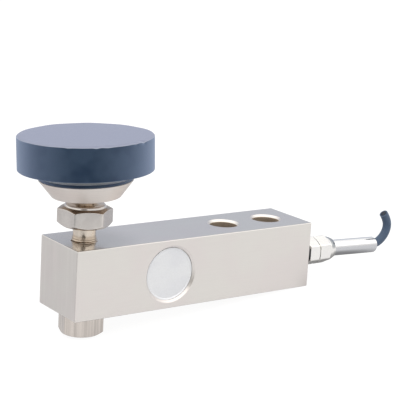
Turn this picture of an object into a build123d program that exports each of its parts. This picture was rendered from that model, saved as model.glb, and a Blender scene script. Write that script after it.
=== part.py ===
from build123d import *
from math import cos, pi, radians, sin, sqrt, tan
import os

os.makedirs("parts", exist_ok=True)

# A single-ended shear-beam weighing cell with a self-aligning levelling foot, lying upside down.
# Millimetres. The origin is the middle of the two mounting holes, on the mounting face.
# +X runs along the beam to the cable, +Z from the mounting face to the foot.

# Beam: a square bar, every outer edge lightly broken
beam_width = 31.8
beam_height = 31.8
beam_edge = 0.4
load_hole_to_end = 12.6
load_hole_to_mounting_hole = 76.2
mounting_pitch = 25.4
mounting_hole_to_end = 16.0
mounting_hole_d = 13.0
mounting_hole_chamfer = 1.15
mounting_face_chamfer = 0.4

# Gauge pockets: one on each side, with the shear web left between them
load_hole_to_pocket = 36.4
pocket_wall = 2.6
web_thickness = 5.0
cover_ledge = 1.0
cover_thickness = 1.2
cover_recess = 1.0
cover_edge = 0.3
cover_gap = 0.15
plug_thickness = 5.7
fit_gap = 0.05
bridge_hole_d = 3.0
bridge_hole_to_wall = 0.9

# Foil gauges, solder boards and wiring inside the pockets
carrier_length = 10.4
carrier_width = 6.4
carrier_thickness = 0.12
carrier_to_board = 1.4
foil_thickness = 0.05
grid_length = 2.6
grid_line = 0.16
grid_step = 0.36
grid_lines = 7
grid_margin = 2.0
grid_spacing = 3.8
tab_size = 0.8
tab_margin = 0.7
board_length = 7.2
board_width = 2.8
board_thickness = 1.0
board_to_wall = 1.2
solder_thickness = 0.1
inner_solder = 0.7
outer_solder = 1.05
solder_margin = 0.6
lead_d = 0.25
lead_rise = 1.3
lead_step = 1.0
bridge_wire_d = 0.5
bridge_wire_rise = 1.0
bridge_wire_bend = 0.5
core_d = 0.9
core_step = 0.55
core_bend = 0.5
core_pads = (-2.7, -0.9, 0.9, 2.7)

# Threads are plain cylinders at their pitch diameter, in holes one gap larger
stud_thread_d = 12.0
stud_thread_pitch = 1.75
entry_thread_d = 10.0
fine_pitch = 1.0
thread_gap = 0.05
thread_chamfer = 0.8
pitch_factor = 0.6495

# Stud: thread, waisted shank, hexagon, neck and ball turned from one bar
shank_d = 10.2
shank_length = 6.8
run_out_height = 0.9
hexagon_flats = 21.6
hexagon_height = 8.7
hexagon_top_cut = 3.17
hexagon_top_chamfer = 22.0
hexagon_bottom_cut = 2.55
hexagon_bottom_chamfer = 34.0
hexagon_angle = 37.6
shoulder_inset = 0.15
shoulder_height = 1.1
shoulder_edge = 0.5
neck_d = 8.0
neck_fillet = 0.8
ball_above_hexagon = 9.3
ball_d = 14.0
ball_gap = 0.15

# Lock nut under the beam
lock_nut_flats = 18.0
lock_nut_height = 10.6
lock_nut_cut = 2.09
lock_nut_chamfer = 30.0
lock_nut_angle = 15.5
stud_end_inset = 0.6

# Foot: it leans on the ball as it was left, in degrees towards +X and +Y
foot_lean_x = -2.35
foot_lean_y = 1.6
liner_thickness = 1.4
liner_below_centre = 1.0
retainer_height = 2.2
retainer_neck_gap = 1.5
retainer_ball_gap = 0.2
spanner_hole_d = 1.6
spanner_hole_depth = 1.2
spanner_pitch_d = 14.4
cup_below_centre = 4.8
cup_bottom_d = 30.3
cup_edge = 0.5
cup_cone_height = 7.8
cup_cone_d = 42.2
cup_neck_d = 36.6
flange_d = 48.0
flange_thickness = 3.0
flange_lip = 1.5
collar_wall = 2.35
collar_height = 4.2
collar_edge = 0.4
pad_d = 59.8
pad_thickness = 15.1
pad_edge = 0.4

# Cable gland: set towards the front face, so that the duct passes beside the mounting holes
gland_from_front = 7.3
gland_height = 15.3
duct_from_front = 5.6
duct_d = 4.0
entry_depth = 8.0
entry_chamfer = 0.4
gland_flats = 12.3
gland_angle = 88.0
gland_chamfer = 30.0
gland_cut = 0.8
washer_inset = 0.45
washer_thickness = 2.0
washer_gap = 0.1
spigot_length = 5.0
spigot_wall = 1.475
body_hexagon = 6.0
body_neck_length = 5.2
body_neck_wall = 0.975
grommet_start = 5.0
grommet_length = 7.35
clamp_ring_thickness = 1.2
nut_lift = 0.4
nut_wall = 0.65
nut_hexagon = 6.4
dome_length = 4.6
dome_middle_wall = 2.1
mouth_wall = 0.65
mouth_edge = 0.3

# Strain-relief sleeve and cable
sleeve_wall = 1.55
sleeve_cable_gap = 0.25
sleeve_nut_gap = 0.25
sleeve_length = 34.1
sleeve_inside_nut = 5.2
sleeve_droop = 2.6
sleeve_edge = 0.6
cable_d = 4.4
cable_start = 4.5

# Heights and places that follow
hole_near_x = -mounting_pitch / 2
hole_far_x = mounting_pitch / 2
load_x = hole_near_x - load_hole_to_mounting_hole
free_end_x = load_x - load_hole_to_end
fixed_end_x = hole_far_x + mounting_hole_to_end
pocket_x = load_x + load_hole_to_pocket
middle_z = beam_height / 2
half_width = beam_width / 2
half_web = web_thickness / 2
cover_seat_d = beam_height - 2 * (pocket_wall + cover_recess)
pocket_d = cover_seat_d - 2 * cover_ledge
seat_depth = cover_recess + cover_thickness
pocket_depth = half_width - half_web
bridge_hole_drop = pocket_d / 2 - bridge_hole_d / 2 - bridge_hole_to_wall
board_column = pocket_d / 2 - board_to_wall - board_width / 2
inner_column = board_column - board_width / 2 + solder_margin
outer_column = board_column + board_width / 2 - solder_margin
carrier_end = board_column - board_width / 2 - carrier_to_board
grid_left = carrier_end - carrier_length + grid_margin
grid_right = grid_left + grid_spacing
tab_column = carrier_end - tab_margin
stud_pitch_d = stud_thread_d - pitch_factor * stud_thread_pitch
entry_pitch_d = entry_thread_d - pitch_factor * fine_pitch
nut_pitch_d = gland_flats - 2 * nut_wall - pitch_factor * fine_pitch
hexagon_z = beam_height + shank_length
hexagon_top_z = hexagon_z + hexagon_height
shoulder_r = hexagon_flats / sqrt(3) - hexagon_top_cut - shoulder_inset
shoulder_z = hexagon_top_z + shoulder_height
ball_z = hexagon_top_z + ball_above_hexagon
ball_r = ball_d / 2
liner_inner_r = ball_r + ball_gap
liner_outer_r = liner_inner_r + liner_thickness
socket_r = liner_outer_r + ball_gap
retainer_mouth_d = neck_d + 2 * retainer_neck_gap
collar_d = cup_neck_d + 2 * (fit_gap + collar_wall)
washer_d = gland_flats - 2 * washer_inset
body_bore_d = entry_pitch_d - 2 * spigot_wall
grommet_bore_d = nut_pitch_d - 2 * body_neck_wall
sleeve_bore_d = cable_d + 2 * sleeve_cable_gap
sleeve_d = sleeve_bore_d + 2 * sleeve_wall
mouth_d = sleeve_d + 2 * sleeve_nut_gap
dome_end_d = mouth_d + 2 * mouth_wall
dome_middle_d = mouth_d + 2 * dome_middle_wall - 2 * mouth_wall
gland_y = gland_from_front - half_width
duct_y = duct_from_front - half_width

# Planes: the stud stands on load_axis, the foot on its own leaning axis through the ball
load_axis = Axis((load_x, 0, 0), (0, 0, 1))
stud_section = Plane(origin=(load_x, 0, 0), x_dir=(1, 0, 0), z_dir=(0, -1, 0))
foot_up = Vector(tan(radians(foot_lean_x)), tan(radians(foot_lean_y)), 1).normalized()
foot_side = Vector(0, 1, 0).cross(foot_up).normalized()
foot_plane = Plane(origin=(load_x, 0, ball_z), x_dir=foot_side, z_dir=foot_up)
foot_section = Plane(origin=foot_plane.origin, x_dir=foot_side, z_dir=foot_side.cross(foot_up))
foot_axis = Axis(foot_plane.origin, foot_up)
gland_plane = Plane(origin=(fixed_end_x, gland_y, gland_height), x_dir=(0, 1, 0), z_dir=(1, 0, 0))
gland_section = Plane(origin=gland_plane.origin, x_dir=(1, 0, 0), z_dir=(0, -1, 0))
gland_axis = Axis(gland_plane.origin, (1, 0, 0))


def chamfered_hexagon(plane, flats, height, low_cut, high_cut, low_chamfer, high_chamfer, turn):
    """Add a hexagon along the plane's normal, its corners cut back to a circle at each face by a cone."""
    corner_r = flats / sqrt(3)
    low_rise = low_cut * tan(radians(low_chamfer))
    high_drop = high_cut * tan(radians(high_chamfer))
    side = Plane(origin=plane.origin, x_dir=plane.x_dir, z_dir=plane.x_dir.cross(plane.z_dir))
    with BuildSketch(plane) as outline:
        RegularPolygon(radius=corner_r, side_count=6, rotation=turn)
    extrude(outline.sketch, amount=height)
    with BuildSketch(side) as envelope:
        with BuildLine():
            Polyline(
                (0, 0),
                (corner_r - low_cut, 0),
                (corner_r, low_rise),
                (corner_r, height - high_drop),
                (corner_r - high_cut, height),
                (0, height),
                close=True,
            )
        make_face()
    revolve(envelope.sketch, axis=Axis(plane.origin, plane.z_dir), mode=Mode.INTERSECT)


def arched_wire(start, top, end, diameter):
    """Add a round wire whose centre is the arc through three points."""
    with BuildLine() as route:
        ThreePointArc(start, top, end)
    with BuildSketch(Plane(origin=route.line @ 0, z_dir=route.line % 0)) as section:
        Circle(diameter / 2)
    sweep(section.sketch, path=route.line)


def wire_along(points, bend, diameter):
    """Add a round wire whose centre follows the points, with every corner rounded to the bend radius."""
    with BuildLine() as route:
        FilletPolyline(*points, radius=bend)
    with BuildSketch(Plane(origin=route.line @ 0, z_dir=route.line % 0)) as section:
        Circle(diameter / 2)
    sweep(section.sketch, path=route.line)


# Beam body: nickel-plated alloy steel, milled from one bar
with BuildPart() as beam_body:
    with BuildSketch(Plane.XY):
        with Locations((free_end_x, 0)):
            Rectangle(fixed_end_x - free_end_x, beam_width, align=(Align.MIN, Align.CENTER))
    extrude(amount=beam_height)
    chamfer(beam_body.edges(), beam_edge)
    for hole_x in (hole_near_x, hole_far_x):
        with BuildSketch(Plane.XY):
            with Locations((hole_x, 0)):
                Circle(mounting_hole_d / 2)
        extrude(amount=beam_height, mode=Mode.SUBTRACT)
        hole_rims = beam_body.edges(Select.LAST).filter_by(GeomType.CIRCLE).sort_by(Axis.Z)
        chamfer(hole_rims[0], mounting_face_chamfer)
        chamfer(hole_rims[-1], mounting_hole_chamfer)
    with BuildSketch(Plane.XY):
        with Locations((load_x, 0)):
            Circle(stud_pitch_d / 2 + thread_gap)
    extrude(amount=beam_height, mode=Mode.SUBTRACT)
    chamfer(beam_body.edges(Select.LAST).filter_by(GeomType.CIRCLE), thread_chamfer)
    for side in (-1, 1):
        mouth = Plane(origin=(pocket_x, side * half_width, middle_z), z_dir=(0, -side, 0))
        with BuildSketch(mouth):
            Circle(cover_seat_d / 2)
        extrude(amount=seat_depth, mode=Mode.SUBTRACT)
        rim = beam_body.edges(Select.LAST).filter_by(GeomType.CIRCLE).sort_by(Axis.Y)
        chamfer(rim[0 if side < 0 else -1], cover_recess)
        with BuildSketch(mouth):
            Circle(pocket_d / 2)
        extrude(amount=pocket_depth, mode=Mode.SUBTRACT)
    with BuildSketch(Plane(origin=(pocket_x, -half_web, middle_z - bridge_hole_drop), z_dir=(0, 1, 0))):
        Circle(bridge_hole_d / 2)
    extrude(amount=web_thickness, mode=Mode.SUBTRACT)
    with BuildSketch(gland_plane):
        Circle(entry_pitch_d / 2 + thread_gap)
    extrude(amount=-entry_depth, mode=Mode.SUBTRACT)
    entry_rim = beam_body.edges(Select.LAST).filter_by(GeomType.CIRCLE).sort_by(Axis.X)
    chamfer(entry_rim[-1], entry_chamfer)
    duct_start = (fixed_end_x - entry_depth, duct_y, gland_height)
    with BuildSketch(Plane(origin=duct_start, z_dir=(-1, 0, 0))):
        Circle(duct_d / 2)
    extrude(amount=duct_start[0] - pocket_x, mode=Mode.SUBTRACT)
beam_body.part.label = "beam_body"
export_step(beam_body.part, "parts/beam_body.step")

# Both pockets hold the same gauge, board and cover, the rear ones mirrored about the web
for side, place in ((-1, "front"), (1, "rear")):
    web_face = Plane(origin=(pocket_x, side * half_web, middle_z), x_dir=(1, 0, 0), z_dir=(0, side, 0))
    upward = 1 if side < 0 else -1

    # Cover: thin matte disc on the ledge, one recess below the beam's face
    with BuildPart() as cover:
        with BuildSketch(web_face.offset(pocket_depth - seat_depth)):
            Circle(cover_seat_d / 2 - cover_gap)
        extrude(amount=cover_thickness)
        chamfer(cover.edges(), cover_edge)
    cover.part.label = f"{place}_pocket_cover"
    export_step(cover.part, f"parts/{place}_pocket_cover.step")

    # Sealing plug under the cover; the front one is relieved where the cable's cores come in
    with BuildPart() as sealant:
        with BuildSketch(web_face.offset(pocket_depth - seat_depth)):
            Circle(pocket_d / 2 - fit_gap)
        extrude(amount=-plug_thickness)
        if place == "front":
            with BuildSketch(web_face.offset(pocket_depth - seat_depth - plug_thickness)):
                with Locations((outer_column - core_d * 2, 0)):
                    Rectangle(pocket_d / 2, board_length, align=(Align.MIN, Align.CENTER))
            extrude(amount=plug_thickness - cover_thickness, mode=Mode.SUBTRACT)
    sealant.part.label = f"{place}_sealant"
    export_step(sealant.part, f"parts/{place}_sealant.step")

    # Shear gauge: two foil grids at 45 degrees on one carrier, with a row of solder tabs
    with BuildPart() as gauge:
        with BuildSketch(web_face):
            with Locations((carrier_end, 0)):
                Rectangle(carrier_length, carrier_width, align=(Align.MAX, Align.CENTER))
        extrude(amount=carrier_thickness)
        with BuildSketch(web_face.offset(carrier_thickness)):
            for grid_x, turn in ((grid_left, 45), (grid_right, -45)):
                with Locations(Location((grid_x, 0), turn)):
                    with GridLocations(grid_step, 0, grid_lines, 1):
                        Rectangle(grid_line, grid_length)
                    for joint in range(grid_lines - 1):
                        joint_x = (joint - (grid_lines - 2) / 2) * grid_step
                        joint_y = (grid_length - grid_line) / 2 * (1 if joint % 2 else -1)
                        with Locations((joint_x, joint_y)):
                            Rectangle(grid_step, grid_line)
            with Locations((tab_column, 0)):
                with GridLocations(0, lead_step, 1, 3):
                    Rectangle(tab_size, tab_size)
        extrude(amount=foil_thickness)
    gauge.part.label = f"{place}_shear_gauge"
    export_step(gauge.part, f"parts/{place}_shear_gauge.step")

    # Terminal board: bonded to the web beside the gauge, with a pad for every wire
    with BuildPart() as board:
        with BuildSketch(web_face):
            with Locations((board_column, 0)):
                Rectangle(board_width, board_length)
        extrude(amount=board_thickness)
        with BuildSketch(web_face.offset(board_thickness)):
            for pad_row in range(-3, 2):
                with Locations((inner_column, pad_row * lead_step * upward)):
                    Rectangle(inner_solder, inner_solder)
            for pad_y in core_pads:
                with Locations((outer_column, pad_y)):
                    Rectangle(outer_solder, outer_solder)
        extrude(amount=solder_thickness)
    board.part.label = f"{place}_terminal_board"
    export_step(board.part, f"parts/{place}_terminal_board.step")

# Gauge leads: bare wires that arch from each gauge tab to the board
tab_y = half_web + carrier_thickness + foil_thickness
pad_y = half_web + board_thickness + solder_thickness
arch_y = half_web + board_thickness + lead_rise
with BuildPart() as gauge_leads:
    for side in (-1, 1):
        for row in (-1, 0, 1):
            lead_z = middle_z + row * lead_step
            arched_wire(
                (pocket_x + tab_column, side * tab_y, lead_z),
                (pocket_x + (tab_column + inner_column) / 2, side * arch_y, lead_z),
                (pocket_x + inner_column, side * pad_y, lead_z),
                lead_d,
            )
gauge_leads.part.label = "gauge_leads"
export_step(gauge_leads.part, "parts/gauge_leads.step")

# Bridge wires: two insulated wires through the web, from board to board
bridge_z = middle_z - bridge_hole_drop
bridge_y = pad_y + bridge_wire_rise
with BuildPart() as bridge_wires:
    for row, hole_x in ((-3, pocket_x + bridge_hole_d / 4), (-2, pocket_x - bridge_hole_d / 4)):
        board_x = pocket_x + inner_column
        board_z = middle_z + row * lead_step
        wire_along(
            [
                (board_x, -pad_y, board_z),
                (board_x, -bridge_y, board_z),
                (hole_x, -bridge_y, bridge_z),
                (hole_x, bridge_y, bridge_z),
                (board_x, bridge_y, board_z),
                (board_x, pad_y, board_z),
            ],
            bridge_wire_bend,
            bridge_wire_d,
        )
bridge_wires.part.label = "bridge_wires"
export_step(bridge_wires.part, "parts/bridge_wires.step")

# Cable cores: four insulated conductors, from the jacket's end through the duct to the front board
core_start_x = fixed_end_x + cable_start
core_places = (
    (-core_step, -core_step, core_pads[0]),
    (core_step, -core_step, core_pads[1]),
    (core_step, core_step, core_pads[2]),
    (-core_step, core_step, core_pads[3]),
)
with BuildPart() as cable_cores:
    for step_y, step_z, pad_offset in core_places:
        wire_along(
            [
                (core_start_x, gland_y + step_y, gland_height + step_z),
                (core_start_x - 2 * core_d, gland_y + step_y, gland_height + step_z),
                (fixed_end_x - spigot_length, duct_y + step_y, gland_height + step_z),
                (pocket_x + pocket_d / 2 - core_d / 2, duct_y + step_y, gland_height + step_z),
                (pocket_x + outer_column, duct_y + step_y, middle_z + pad_offset),
                (pocket_x + outer_column, -pad_y, middle_z + pad_offset),
            ],
            core_bend,
            core_d,
        )
cable_cores.part.label = "cable_cores"
export_step(cable_cores.part, "parts/cable_cores.step")

# Foot stud: hexagon, then thread, shank, neck and ball in one turned profile
ball_neck_z = ball_z - sqrt(ball_r**2 - (neck_d / 2) ** 2)
with BuildPart() as foot_stud:
    chamfered_hexagon(
        Plane(origin=(load_x, 0, hexagon_z)),
        hexagon_flats,
        hexagon_height,
        hexagon_bottom_cut,
        hexagon_top_cut,
        hexagon_bottom_chamfer,
        hexagon_top_chamfer,
        hexagon_angle,
    )
    with BuildSketch(stud_section):
        with BuildLine():
            Polyline(
                (0, ball_z),
                (0, stud_end_inset - lock_nut_height),
                (stud_pitch_d / 2 - thread_chamfer, stud_end_inset - lock_nut_height),
                (stud_pitch_d / 2, stud_end_inset - lock_nut_height + thread_chamfer),
                (stud_pitch_d / 2, beam_height + run_out_height),
                (shank_d / 2, beam_height + run_out_height + (stud_pitch_d - shank_d) / 2),
                (shank_d / 2, hexagon_top_z),
                (shoulder_r, hexagon_top_z),
                (shoulder_r, shoulder_z),
                (neck_d / 2, shoulder_z),
                (neck_d / 2, ball_neck_z),
            )
            ThreePointArc(
                (neck_d / 2, ball_neck_z),
                (ball_r, ball_z),
                (0, ball_z + ball_r),
            )
            Line((0, ball_z + ball_r), (0, ball_z))
        make_face()
    revolve(axis=load_axis)
    neck_root = foot_stud.edges().filter_by(GeomType.CIRCLE).filter_by(
        lambda edge: abs(edge.radius - neck_d / 2) < fit_gap and edge.center().Z < ball_neck_z - fit_gap
    )
    fillet(neck_root, neck_fillet)
    shoulder_rim = foot_stud.edges().filter_by(GeomType.CIRCLE).filter_by(
        lambda edge: abs(edge.radius - shoulder_r) < fit_gap and edge.center().Z > shoulder_z - fit_gap
    )
    fillet(shoulder_rim, shoulder_edge)
foot_stud.part.label = "foot_stud"
export_step(foot_stud.part, "parts/foot_stud.step")

# Stud lock nut: tightened against the mounting face
with BuildPart() as stud_lock_nut:
    chamfered_hexagon(
        Plane(origin=(load_x, 0, -lock_nut_height)),
        lock_nut_flats,
        lock_nut_height,
        lock_nut_cut,
        lock_nut_cut,
        lock_nut_chamfer,
        lock_nut_chamfer,
        lock_nut_angle,
    )
    with BuildSketch(Plane.XY.offset(-lock_nut_height)):
        with Locations((load_x, 0)):
            Circle(stud_pitch_d / 2 + thread_gap)
    extrude(amount=lock_nut_height, mode=Mode.SUBTRACT)
    chamfer(stud_lock_nut.edges(Select.LAST).filter_by(GeomType.CIRCLE), thread_chamfer)
stud_lock_nut.part.label = "stud_lock_nut"
export_step(stud_lock_nut.part, "parts/stud_lock_nut.step")

# Ball liner: moulded spherical shell between ball and cup, free of both
with BuildPart() as ball_liner:
    with BuildSketch(Plane(origin=(load_x, 0, ball_z), x_dir=(1, 0, 0), z_dir=(0, -1, 0))):
        Circle(liner_outer_r)
        Circle(liner_inner_r, mode=Mode.SUBTRACT)
        with Locations((0, -liner_below_centre)):
            Rectangle(liner_outer_r, 2 * liner_outer_r, align=(Align.MIN, Align.MIN), mode=Mode.INTERSECT)
    revolve(axis=load_axis)
ball_liner.part.label = "ball_liner"
export_step(ball_liner.part, "parts/ball_liner.step")

# Foot cup: turned steel, ball socket open at the bottom, flange inside the pad at the top
cone_top = cup_cone_height - cup_below_centre
pad_bottom = cone_top + collar_height
flange_bottom = pad_bottom + flange_lip
flange_top = flange_bottom + flange_thickness
with BuildPart() as foot_cup:
    with BuildSketch(foot_section):
        with BuildLine():
            Polyline(
                (0, socket_r),
                (0, flange_top),
                (flange_d / 2, flange_top),
                (flange_d / 2, flange_bottom),
                (cup_neck_d / 2, flange_bottom),
                (cup_neck_d / 2, cone_top),
                (cup_cone_d / 2, cone_top),
                (cup_bottom_d / 2, cup_edge - cup_below_centre),
                (cup_bottom_d / 2 - cup_edge, -cup_below_centre),
                (socket_r, -cup_below_centre),
                (socket_r, 0),
            )
            ThreePointArc(
                (socket_r, 0),
                (socket_r * cos(radians(45)), socket_r * sin(radians(45))),
                (0, socket_r),
            )
        make_face()
    revolve(axis=foot_axis)
foot_cup.part.label = "foot_cup"
export_step(foot_cup.part, "parts/foot_cup.step")

# Ball retainer: ring screwed up into the cup, its bore shaped to the ball, with two spanner holes
with BuildPart() as ball_retainer:
    with BuildSketch(foot_plane.offset(-cup_below_centre)):
        Circle(socket_r - fit_gap)
        Circle(retainer_mouth_d / 2, mode=Mode.SUBTRACT)
    extrude(amount=retainer_height)
    with Locations(foot_plane):
        Sphere(ball_r + retainer_ball_gap, mode=Mode.SUBTRACT)
    with BuildSketch(foot_plane.offset(-cup_below_centre)):
        with PolarLocations(spanner_pitch_d / 2, 2):
            Circle(spanner_hole_d / 2)
    extrude(amount=spanner_hole_depth, mode=Mode.SUBTRACT)
ball_retainer.part.label = "ball_retainer"
export_step(ball_retainer.part, "parts/ball_retainer.step")

# Foot pad: moulded rubber, its collar and inner groove stretched over the cup's flange
with BuildPart() as foot_pad:
    with BuildSketch(foot_section):
        with BuildLine():
            Polyline(
                (0, flange_top),
                (0, pad_bottom + pad_thickness),
                (pad_d / 2 - pad_edge, pad_bottom + pad_thickness),
                (pad_d / 2, pad_bottom + pad_thickness - pad_edge),
                (pad_d / 2, pad_bottom),
                (collar_d / 2, pad_bottom),
                (collar_d / 2, cone_top + collar_edge),
                (collar_d / 2 - collar_edge, cone_top),
                (cup_neck_d / 2 + fit_gap, cone_top),
                (cup_neck_d / 2 + fit_gap, flange_bottom),
                (flange_d / 2 + fit_gap, flange_bottom),
                (flange_d / 2 + fit_gap, flange_top),
                close=True,
            )
        make_face()
    revolve(axis=foot_axis)
foot_pad.part.label = "foot_pad"
export_step(foot_pad.part, "parts/foot_pad.step")

# Gland washer: soft sealing ring between beam and gland body
with BuildPart() as gland_washer:
    with BuildSketch(gland_plane):
        Circle(washer_d / 2)
        Circle(entry_pitch_d / 2 + washer_gap, mode=Mode.SUBTRACT)
    extrude(amount=washer_thickness)
gland_washer.part.label = "gland_washer"
export_step(gland_washer.part, "parts/gland_washer.step")

# Gland body: hexagon with a spigot into the beam and a threaded neck for the nut
body_end = washer_thickness + body_hexagon + body_neck_length
with BuildPart() as gland_body:
    chamfered_hexagon(
        gland_plane.offset(washer_thickness),
        gland_flats,
        body_hexagon,
        gland_cut,
        gland_cut,
        gland_chamfer,
        gland_chamfer,
        gland_angle,
    )
    with BuildSketch(gland_plane.offset(-spigot_length)):
        Circle(entry_pitch_d / 2)
    extrude(amount=spigot_length + washer_thickness)
    with BuildSketch(gland_plane.offset(washer_thickness + body_hexagon)):
        Circle(nut_pitch_d / 2)
    extrude(amount=body_neck_length)
    with BuildSketch(gland_plane.offset(-spigot_length)):
        Circle(body_bore_d / 2)
    extrude(amount=spigot_length + body_end, mode=Mode.SUBTRACT)
    with BuildSketch(gland_plane.offset(grommet_start)):
        Circle(grommet_bore_d / 2)
    extrude(amount=body_end - grommet_start, mode=Mode.SUBTRACT)
gland_body.part.label = "gland_body"
export_step(gland_body.part, "parts/gland_body.step")

# Gland grommet: rubber, squeezed round the cable's jacket
with BuildPart() as gland_grommet:
    with BuildSketch(gland_plane.offset(grommet_start)):
        Circle(grommet_bore_d / 2 - fit_gap)
        Circle(cable_d / 2 + fit_gap, mode=Mode.SUBTRACT)
    extrude(amount=grommet_length)
gland_grommet.part.label = "gland_grommet"
export_step(gland_grommet.part, "parts/gland_grommet.step")

# Gland clamp ring: lets the nut turn without twisting the grommet
clamp_ring_start = grommet_start + grommet_length
with BuildPart() as gland_clamp_ring:
    with BuildSketch(gland_plane.offset(clamp_ring_start)):
        Circle(grommet_bore_d / 2 - fit_gap)
        Circle(cable_d / 2 + ball_gap, mode=Mode.SUBTRACT)
    extrude(amount=clamp_ring_thickness)
gland_clamp_ring.part.label = "gland_clamp_ring"
export_step(gland_clamp_ring.part, "parts/gland_clamp_ring.step")

# Gland nut: hexagon with a domed nose, its mouth open for the sleeve
nut_start = washer_thickness + body_hexagon + nut_lift
nut_end = nut_start + nut_hexagon + dome_length
nut_shoulder = clamp_ring_start + clamp_ring_thickness
with BuildPart() as gland_nut:
    chamfered_hexagon(
        gland_plane.offset(nut_start),
        gland_flats,
        nut_hexagon,
        gland_cut,
        gland_flats / sqrt(3) - gland_flats / 2,
        gland_chamfer,
        gland_chamfer,
        gland_angle,
    )
    dome_start = nut_start + nut_hexagon
    with BuildSketch(gland_section):
        with BuildLine():
            Polyline(
                (dome_start, gland_flats / 2),
                (dome_start, 0),
                (nut_end, 0),
                (nut_end, dome_end_d / 2 - mouth_edge),
                (nut_end - mouth_edge, dome_end_d / 2),
            )
            ThreePointArc(
                (nut_end - mouth_edge, dome_end_d / 2),
                (dome_start + dome_length / 2, dome_middle_d / 2),
                (dome_start, gland_flats / 2),
            )
        make_face()
    revolve(axis=gland_axis)
    with BuildSketch(gland_plane.offset(nut_start)):
        Circle(nut_pitch_d / 2 + thread_gap)
    extrude(amount=nut_shoulder - nut_start, mode=Mode.SUBTRACT)
    with BuildSketch(gland_plane.offset(nut_start)):
        Circle(mouth_d / 2)
    extrude(amount=nut_end - nut_start, mode=Mode.SUBTRACT)
gland_nut.part.label = "gland_nut"
export_step(gland_nut.part, "parts/gland_nut.step")

# Strain-relief sleeve: thin tube held in the nut's mouth, drooping a little
sleeve_pivot = nut_end - sleeve_inside_nut / 2
droop = radians(sleeve_droop)
sleeve_along = Vector(cos(droop), 0, -sin(droop))
sleeve_origin = gland_plane.origin + Vector(sleeve_pivot, 0, 0) - sleeve_along * (sleeve_inside_nut / 2)
with BuildPart() as strain_relief_sleeve:
    with BuildSketch(Plane(origin=sleeve_origin, z_dir=sleeve_along)):
        Circle(sleeve_d / 2)
        Circle(sleeve_bore_d / 2, mode=Mode.SUBTRACT)
    extrude(amount=sleeve_length)
    outer_rim = strain_relief_sleeve.edges().filter_by(GeomType.CIRCLE).sort_by(Axis.X)[-2:]
    chamfer(outer_rim.sort_by(lambda edge: edge.radius)[-1], sleeve_edge)
strain_relief_sleeve.part.label = "strain_relief_sleeve"
export_step(strain_relief_sleeve.part, "parts/strain_relief_sleeve.step")

# Cable: jacketed, from inside the gland through the sleeve, turning up to its cut end
cable_route = [
    (33.2, -8.6, 15.3),
    (44.7, -8.6, 15.3),
    (58.3, -8.6, 14.7),
    (69.5, -8.6, 14.2),
    (78.3, -8.6, 13.8),
    (83.4, -8.6, 16.6),
    (86.2, -8.6, 21.2),
    (85.7, -8.6, 26.1),
    (82.9, -8.6, 29.5),
]
cable_radii = []
for before, corner, after in zip(cable_route, cable_route[1:], cable_route[2:]):
    run_in = Vector(corner) - Vector(before)
    run_out = Vector(after) - Vector(corner)
    half_turn = radians(run_in.get_angle(run_out)) / 2
    cable_radii.append(0.45 * min(run_in.length, run_out.length) / tan(half_turn))
print("cable radii", [round(radius, 1) for radius in cable_radii])
with BuildPart() as cable:
    with BuildLine() as cable_line:
        FilletPolyline(*cable_route, radius=cable_radii)
    with BuildSketch(Plane(origin=cable_line.line @ 0, z_dir=cable_line.line % 0)):
        Circle(cable_d / 2)
    sweep()
cable_length = cable_line.wire().length
cable_volume = pi * cable_d**2 / 4 * cable_length
print("cable length", round(cable_length, 2), "volume ratio", cable.part.volume / cable_volume)
cable.part.label = "cable"
export_step(cable.part, "parts/cable.step")
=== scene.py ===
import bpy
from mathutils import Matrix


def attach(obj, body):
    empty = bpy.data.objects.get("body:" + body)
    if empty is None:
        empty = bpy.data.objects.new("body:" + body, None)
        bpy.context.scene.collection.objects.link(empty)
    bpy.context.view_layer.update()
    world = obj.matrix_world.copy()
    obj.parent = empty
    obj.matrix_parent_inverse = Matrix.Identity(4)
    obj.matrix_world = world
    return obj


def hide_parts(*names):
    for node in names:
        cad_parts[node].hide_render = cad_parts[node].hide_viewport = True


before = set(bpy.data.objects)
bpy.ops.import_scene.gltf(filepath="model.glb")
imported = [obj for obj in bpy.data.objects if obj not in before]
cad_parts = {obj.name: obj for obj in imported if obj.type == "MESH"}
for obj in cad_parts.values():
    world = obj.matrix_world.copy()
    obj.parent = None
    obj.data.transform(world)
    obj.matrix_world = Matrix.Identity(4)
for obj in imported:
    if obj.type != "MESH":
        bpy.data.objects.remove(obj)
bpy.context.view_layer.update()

import bmesh
import bpy
import numpy as np
from mathutils import Matrix, Vector

# Camera, floor and light: the cell lies on a pale table in a light tent. A long lens looks at it from in
# front of its free end, a little above the beam, through a dark opening in the tent. The tent is bright in
# front and overhead, and its far side is a cooler grey, which the ground top face mirrors.
scene = bpy.context.scene
scene.view_settings.view_transform = "Standard"
lens = bpy.data.cameras.new("photo_camera")
lens.lens = 116.608
lens.sensor_width = 36.0
lens.clip_start = 0.02
photo_camera = bpy.data.objects.new("photo_camera", lens)
camera_right = (0.81331, -0.57886, 0.05866)
camera_up = (0.0859, 0.21919, 0.97189)
camera_back = (-0.57545, -0.78541, 0.228)
camera_place = (-0.374038, -0.473723, 0.181889)
photo_camera.matrix_world = Matrix((
    (*camera_right, 0.0), (*camera_up, 0.0), (*camera_back, 0.0), (*camera_place, 1.0),
)).transposed()
scene.collection.objects.link(photo_camera)
scene.camera = photo_camera


def soft_light(name, place, target, size, power, tint):
    """Hang a square soft box at a place, facing a target, where no mirror shows it."""
    lamp = bpy.data.lights.new(name, "AREA")
    lamp.size = size
    lamp.energy = power
    lamp.color = tint
    soft_box = bpy.data.objects.new(name, lamp)
    aim = (Vector(target) - Vector(place)).to_track_quat("-Z", "Y")
    soft_box.matrix_world = Matrix.Translation(place) @ aim.to_matrix().to_4x4()
    soft_box.visible_glossy = False
    scene.collection.objects.link(soft_box)


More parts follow.
